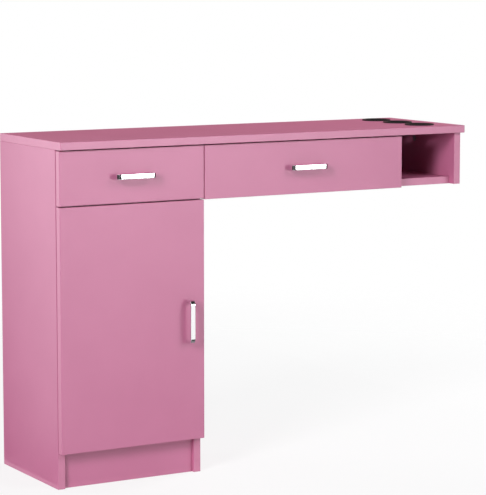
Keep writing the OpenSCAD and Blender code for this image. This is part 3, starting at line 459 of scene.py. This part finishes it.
def solids(name):
    """The separate solids of a CAD node, as lists of corners."""
    bm = bmesh.new()
    bm.from_mesh(nodes[name].data)
    bmesh.ops.remove_doubles(bm, verts=bm.verts, dist=MERGE)
    left, found = set(bm.verts), []
    while left:
        todo, group = [left.pop()], []
        while todo:
            corner = todo.pop()
            group.append(corner.co.copy())
            for edge in corner.link_edges:
                other = edge.other_vert(corner)
                if other in left:
                    left.remove(other)
                    todo.append(other)
        found.append(group)
    bm.free()
    return sorted(found, key=lambda group: [round(c, 5) for c in min(group)])


def new_corners(made):
    """The corners that an extrusion has made."""
    return [g for g in made["geom"] if isinstance(g, bmesh.types.BMVert)]


HEAD_SIDES = 32
RECESS_TAPER = 0.6
RECESS_DEPTH = 0.55


def screw(bm, head, out, profile, recess):
    """Adds one screw. head is the middle of its head's top, out points out of the board, and
    profile lists radius and depth below that top, rim first. recess is the length and half the
    width of an arm of the cross, whose depth is a share of that length."""
    top = bmesh.ops.create_circle(bm, segments=HEAD_SIDES, radius=profile[0][0])["verts"]
    rim = list({e for v in top for e in v.link_edges})
    arm, waist = recess
    corners = [(arm, -waist), (arm, waist), (waist, waist)]
    for quarter in range(3):
        corners += [(-y, x) for x, y in corners[-3:]]
    cross = bmesh.ops.create_circle(bm, segments=len(corners), radius=1.0)["verts"]
    for corner, (x, y) in zip(cross, corners):
        corner.co = (x, y, 0)
    slot = list({e for v in cross for e in v.link_edges})
    bmesh.ops.triangle_fill(bm, edges=rim + slot, use_beauty=True)
    pit = bm.faces.new(cross)
    deep = new_corners(bmesh.ops.extrude_face_region(bm, geom=[pit]))
    bmesh.ops.scale(bm, vec=(RECESS_TAPER, RECESS_TAPER, 1), verts=deep)
    bmesh.ops.translate(bm, vec=(0, 0, -RECESS_DEPTH * arm), verts=deep)
    bmesh.ops.delete(bm, geom=[pit], context="FACES_ONLY")
    everything = set(top) | set(cross) | set(deep)
    edges, (radius, depth) = rim, profile[0]
    for next_radius, next_depth in profile[1:]:
        made = bmesh.ops.extrude_edge_only(bm, edges=edges)
        ring = new_corners(made)
        edges = [g for g in made["geom"] if isinstance(g, bmesh.types.BMEdge)
                 and all(v in ring for v in g.verts)]
        bmesh.ops.scale(bm, vec=(next_radius / radius, next_radius / radius, 1), verts=ring)
        bmesh.ops.translate(bm, vec=(0, 0, depth - next_depth), verts=ring)
        everything |= set(ring)
        radius, depth = next_radius, next_depth
    bmesh.ops.holes_fill(bm, edges=edges, sides=0)
    turn = Vector(out).to_track_quat("Z", "Y").to_matrix().to_4x4()
    bmesh.ops.transform(bm, matrix=Matrix.Translation(head) @ turn, verts=list(everything))


NEAR_END = 1e-4


def screw_places(name):
    """Head and outward direction of each screw in a CAD node, with its length. The head is at
    the end that is wider."""
    places = []
    for corners in solids(name):
        low = Vector([min(c[i] for c in corners) for i in range(3)])
        high = Vector([max(c[i] for c in corners) for i in range(3)])
        axis = max(range(3), key=lambda i: high[i] - low[i])
        middle = (low + high) / 2
        radii = []
        for end in (low[axis], high[axis]):
            near = [c for c in corners if abs(c[axis] - end) < NEAR_END]
            radii.append(max(math.hypot(*[c[i] - middle[i] for i in range(3) if i != axis])
                             for c in near))
        head_high = radii[1] > radii[0]
        out = Vector((0, 0, 0))
        out[axis] = 1 if head_high else -1
        head = middle.copy()
        head[axis] = high[axis] if head_high else low[axis]
        places.append((head, out, high[axis] - low[axis]))
    return places


POINT = 0.15
BACK_SCREW = 0.024
SAME_LENGTH = 0.0005


def shank_end(shank, length):
    """The shank's last stretch, which ends in a blunt point."""
    return [(shank, length - shank), (shank * POINT, length)]


def pan_head(radius, height, shank, length):
    """Profile of a screw with a low dome over a straight rim."""
    return [(radius * 0.62, 0), (radius * 0.82, height * 0.12), (radius * 0.95, height * 0.36),
            (radius, height * 0.7), (radius, height), (shank, height)] + shank_end(shank, length)


def countersunk_head(radius, shank, length):
    """Profile of a screw with a flat top over a cone, as the drawer boxes' back screws have."""
    return [(radius * 0.9, 0), (radius, radius * 0.12), (shank, radius * 0.9)] + shank_end(shank, length)


def screws(body, source, radius, height, shank, recess):
    """Draws the screws of one CAD node. Those as long as BACK_SCREW are countersunk."""
    bm = bmesh.new()
    for head, out, length in screw_places(source):
        profile = pan_head(radius, height, shank, length)
        if abs(length - BACK_SCREW) < SAME_LENGTH:
            profile = countersunk_head(radius, shank, length)
        screw(bm, head, out, profile, recess)
    piece(source.removesuffix("s") + "_set", bm, screw_steel, "screw_steel", body, source)


# Radius and height of the head, radius of the shank, and the recess
WOOD_SCREW = (0.0034, 0.0017, 0.00175, (0.0016, 0.00042))
HANDLE_SCREW = (0.004, 0.0022, 0.002, (0.0021, 0.0005))
screws("carcass", "case_runner_screws", *WOOD_SCREW)
screws("carcass", "hinge_plate_screws", *WOOD_SCREW)
screws("door", "hinge_cup_screws", *WOOD_SCREW)
screws("small_drawer", "small_drawer_screws", *WOOD_SCREW)
screws("wide_drawer", "wide_drawer_screws", *WOOD_SCREW)
screws("small_drawer", "small_drawer_handle_screws", *HANDLE_SCREW)
screws("wide_drawer", "wide_drawer_handle_screws", *HANDLE_SCREW)
screws("door", "door_handle_screws", *HANDLE_SCREW)

# Concealed hinges and shelf pins
# Pressed steel, nickel plated: cups in the door, arms and plates on the side board, and four
# plain pins that carry the loose shelf.

# Nickel is warmer than zinc, and shines more
nickel = metal("nickel_plated_pressed_steel", "#b5b1a9", "#d3d0c9", (0.16, 0.26), 0.006)
finish(("hinge_cups", "hinge_arms", "hinge_plates", "hinge_pins", "shelf_pins"), nickel)

# Door bumpers
# Two clear polyurethane domes, stuck where the door meets the right side board.

HAZE = 0.002
DOME_SIDES = 40
DOME_ROUNDING = 0.42


def polyurethane():
    """Clear cast polyurethane, with a slight haze in spots of 2 mm that keeps it from looking
    like glass."""
    material, tree = blank("clear_polyurethane")
    place = add(tree, "ShaderNodeTexCoord").outputs["Object"]
    haze = add(tree, "ShaderNodeTexNoise", Vector=place, Scale=1 / HAZE, Detail=2.0).outputs["Fac"]
    polish = add(tree, "ShaderNodeMapRange", Value=haze, To_Min=0.12, To_Max=0.3).outputs[0]
    close(tree, add(tree, "ShaderNodeBsdfPrincipled", Base_Color=linear("#f1f3f3"), Roughness=polish,
                    IOR=1.49, Transmission_Weight=0.85))
    return material


bm = bmesh.new()
for corners in solids("door_bumpers"):
    middle = sum(corners, Vector()) / len(corners)
    back, front = min(c.y for c in corners), max(c.y for c in corners)
    radius = max(abs(c.x - middle.x) for c in corners)
    disc = bmesh.ops.create_cone(bm, cap_ends=True, segments=DOME_SIDES, radius1=radius,
                                 radius2=radius, depth=front - back)["verts"]
    edges = [e for e in {e for v in disc for e in v.link_edges}
             if all(v.co.z > 0 for v in e.verts)]
    made = bmesh.ops.bevel(bm, geom=edges, offset=radius * DOME_ROUNDING, offset_type="OFFSET",
                           segments=5, profile=0.5, affect="EDGES", material=-1)
    dome = list({v for v in disc if v.is_valid} | set(made["verts"]))
    centre = Vector((middle.x, (back + front) / 2, middle.z))
    bmesh.ops.transform(bm, verts=dome, matrix=Matrix.Translation(centre)
                        @ Matrix.Rotation(-math.pi / 2, 4, "X"))
piece("door_bumper_domes", bm, polyurethane(), "clear_rubber", "door", "door_bumpers")

# Bow handles
# Zinc castings, polished and chrome plated: a flat grip that bends into two short legs, each
# held by a machine screw from behind. Two stand on the drawers and one on the door.

SMEARS_PER_METRE = 220


def chrome_plate():
    """Polished chrome plate, which mirrors sharply, with faint smears 4.5 mm wide."""
    material, tree = blank("polished_chrome_plate")
    place = add(tree, "ShaderNodeTexCoord").outputs["Object"]
    smear = add(tree, "ShaderNodeTexNoise", Vector=place, Scale=SMEARS_PER_METRE,
                Detail=3.0).outputs["Fac"]
    polish = add(tree, "ShaderNodeMapRange", Value=smear, To_Min=0.05, To_Max=0.12).outputs[0]
    close(tree, add(tree, "ShaderNodeBsdfPrincipled", Base_Color=linear("#f8f8f9"), Metallic=1.0,
                    Roughness=polish))
    return material


chrome = chrome_plate()

GRIP = 0.005
LEG = 0.008
BEND = 0.0115
SOFT_EDGE = 0.0011
END_TRIM = 0.0015


def handle(name, body, node):
    """A handle in the box of its CAD node, shorter by END_TRIM at each end, as the real one is.
    GRIP and LEG are how thick its parts are, and BEND is the radius of its outer corners."""
    low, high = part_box(node)
    size, middle = high - low, (low + high) / 2
    upright = size.z > size.x
    long, wide, out = (size.z, size.x, size.y) if upright else (size.x, size.z, size.y)
    half = long / 2 - END_TRIM
    bm = bmesh.new()
    outline = [(-half, 0), (-half + LEG, 0), (-half + LEG, out - GRIP), (half - LEG, out - GRIP),
               (half - LEG, 0), (half, 0), (half, out), (-half, out)]
    face = bm.faces.new([bm.verts.new((x, -wide / 2, z)) for x, z in outline])
    made = bmesh.ops.extrude_face_region(bm, geom=[face])
    bmesh.ops.translate(bm, vec=(0, wide, 0), verts=new_corners(made))
    across = [e for e in bm.edges if abs(e.verts[0].co.y - e.verts[1].co.y) > wide / 2]
    outer = [e for e in across if e.verts[0].co.z > out - MERGE]
    inner = [e for e in across if abs(e.verts[0].co.z - out + GRIP) < MERGE]
    bmesh.ops.bevel(bm, geom=outer, offset=BEND, offset_type="OFFSET", segments=18, profile=0.5,
                    affect="EDGES", material=-1)
    bmesh.ops.bevel(bm, geom=inner, offset=BEND / 2, offset_type="OFFSET", segments=8, profile=0.5,
                    affect="EDGES", material=-1)
    rims = [e for e in bm.edges if abs(abs(e.verts[0].co.y) - wide / 2) < MERGE
            and abs(e.verts[0].co.y - e.verts[1].co.y) < MERGE
            and max(v.co.z for v in e.verts) > MERGE]
    bmesh.ops.bevel(bm, geom=rims, offset=SOFT_EDGE, offset_type="OFFSET", segments=3, profile=0.5,
                    affect="EDGES", material=-1)
    turn = Matrix.Rotation(math.pi / 2, 4, "X")
    if upright:
        turn = Matrix.Rotation(math.pi / 2, 4, "Y") @ turn
    bmesh.ops.transform(bm, verts=bm.verts,
                        matrix=Matrix.Translation((middle.x, high.y, middle.z)) @ turn)
    piece(name, bm, chrome, "chrome_handles", body, node)


handle("small_drawer_bow_handle", "small_drawer", "small_drawer_handle")
handle("wide_drawer_bow_handle", "wide_drawer", "wide_drawer_handle")
handle("door_bow_handle", "door", "door_handle")

# Tool holders
# Moulded black plastic sleeves, dropped into three holes in the worktop over the open bay.
# Each has a wide soft rim and a thin wall.

SPARKS_PER_METRE = 900


def polypropylene():
    """Moulded polypropylene from a spark-eroded tool, whose grain keeps its gloss low. The real
    grain is 0.1 mm wide, drawn at 1.1 mm to show."""
    material, tree = blank("black_moulded_polypropylene")
    place = add(tree, "ShaderNodeTexCoord").outputs["Object"]
    sparks = add(tree, "ShaderNodeTexNoise", Vector=place, Scale=SPARKS_PER_METRE,
                 Detail=2.0).outputs["Fac"]
    colour = add(tree, "ShaderNodeMix", {"data_type": "RGBA"}, Factor=sparks,
                 in6=linear("#0c0b0c"), in7=linear("#161516")).outputs[2]
    relief = add(tree, "ShaderNodeBump", Strength=0.35, Distance=0.0002, Height=sparks).outputs[0]
    close(tree, add(tree, "ShaderNodeBsdfPrincipled", Base_Color=colour, Roughness=0.5, IOR=1.49,
                    Normal=relief))
    return material


moulded_black = polypropylene()

BORE = 0.0285
SLEEVE = 0.0315
RIM = 0.003
FOOT_EDGE = 0.0006
HOLDER_SIDES = 96
# Round corners of the rim: how far in from its edge, or out from the bore, and how far below its top
RIM_OUTSIDE = [(0.0004, RIM), (0, 0.0026), (0, 0.0018), (0.0005, 0.0008), (0.0014, 0.0002),
               (0.0026, 0)]
RIM_INSIDE = [(0.0034, 0), (0.0028, 0.0001), (0.0024, 0.0006), (0.0022, 0.0011), (0.0012, 0.0012),
              (0.0004, 0.0016), (0, 0.0026)]

for node in ("tool_holder_front", "tool_holder_middle", "tool_holder_rear"):
    low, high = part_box(node)
    middle = (low + high) / 2
    outer = (high.x - low.x) / 2
    top, foot = high.z, low.z
    section = [(SLEEVE - FOOT_EDGE, foot), (SLEEVE, foot + FOOT_EDGE), (SLEEVE, top - RIM)]
    section += [(outer - across, top - below) for across, below in RIM_OUTSIDE]
    section += [(BORE + across, top - below) for across, below in RIM_INSIDE]
    section += [(BORE, foot + FOOT_EDGE), (BORE + FOOT_EDGE, foot)]
    bm = bmesh.new()
    ring = [bm.verts.new((middle.x + r, middle.y, z)) for r, z in section]
    edges = [bm.edges.new(pair) for pair in zip(ring, ring[1:] + ring[:1])]
    bmesh.ops.spin(bm, geom=ring + edges, cent=middle, axis=(0, 0, 1), angle=math.tau,
                   steps=HOLDER_SIDES, use_merge=True)
    piece(node + "_sleeve", bm, moulded_black, "holder_plastic", "carcass", node)
